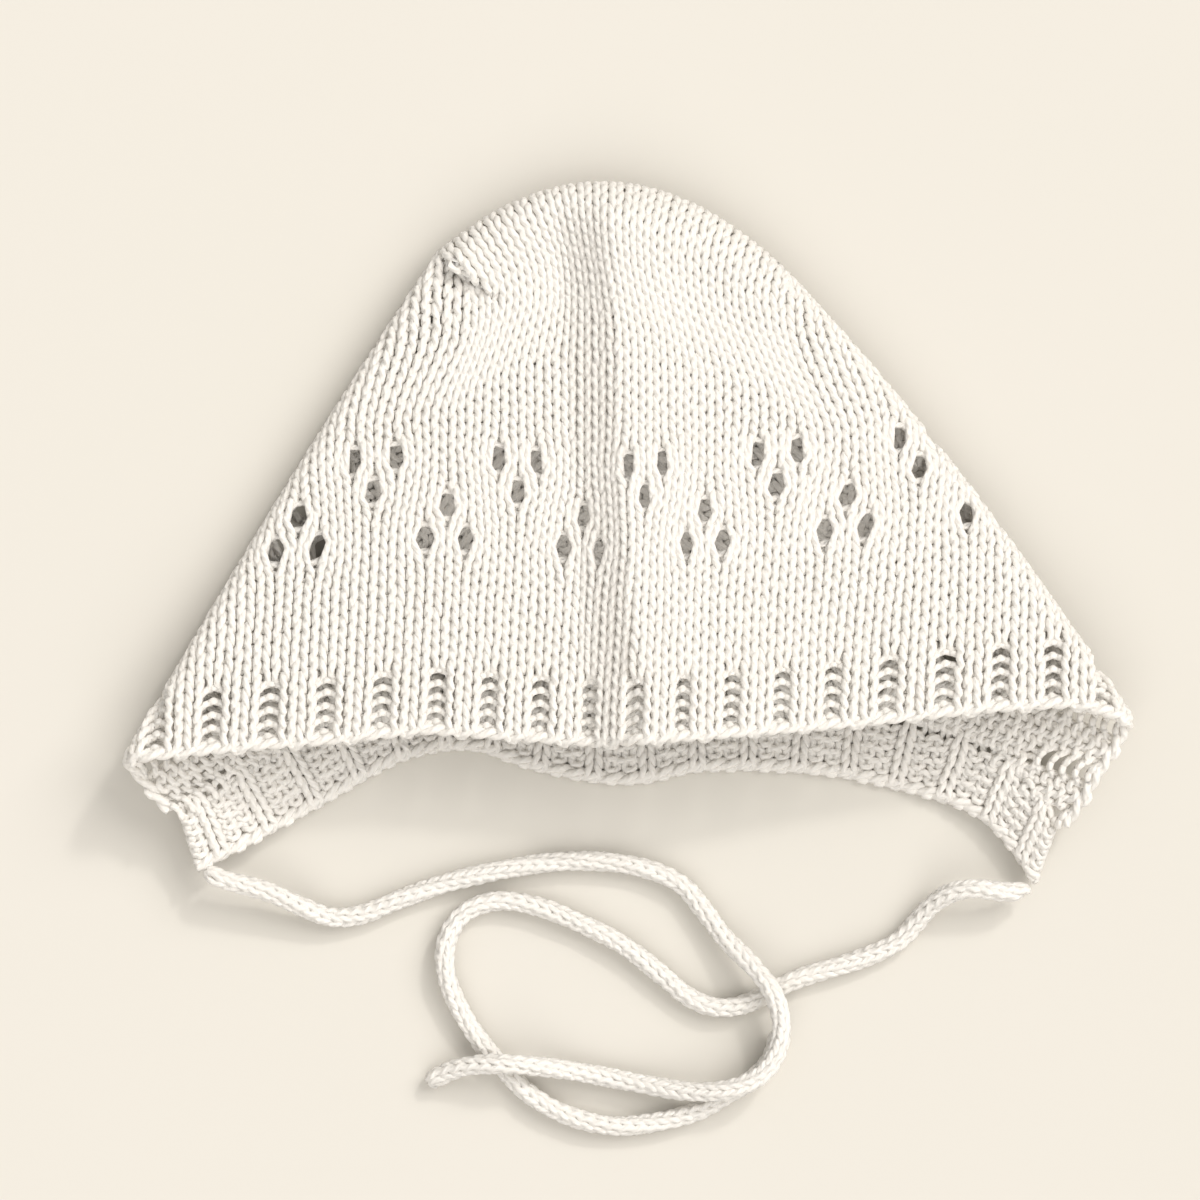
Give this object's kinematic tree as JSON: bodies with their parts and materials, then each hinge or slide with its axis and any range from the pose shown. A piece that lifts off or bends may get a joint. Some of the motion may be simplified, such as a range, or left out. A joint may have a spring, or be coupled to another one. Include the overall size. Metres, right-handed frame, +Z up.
{
  "type": "baby bonnet",
  "caption": "Knitted cotton baby bonnet lying flat, with lace eyelets, a ribbed face edge and neck edge, and knitted ties.",
  "frame": {"origin": "on the surface that the bonnet lies on, at the middle of the bonnet without its ties", "axes": "+Z up from the surface, +Y towards the crown, +X across the face opening"},
  "size_m": [0.2314, 0.2222, 0.0315],
  "materials": {
    "knit_lace": "matt knitted cotton, stockinette and eyelets",
    "knit_rib": "matt knitted cotton, rib",
    "knit_cord": "matt knitted cotton cord"
  },
  "bodies": {
    "root": {"cap": "knit_lace", "front_band": "knit_rib", "neck_band": "knit_rib", "tie_left": "knit_cord", "tie_right": "knit_cord"}
  },
  "joints": []
}
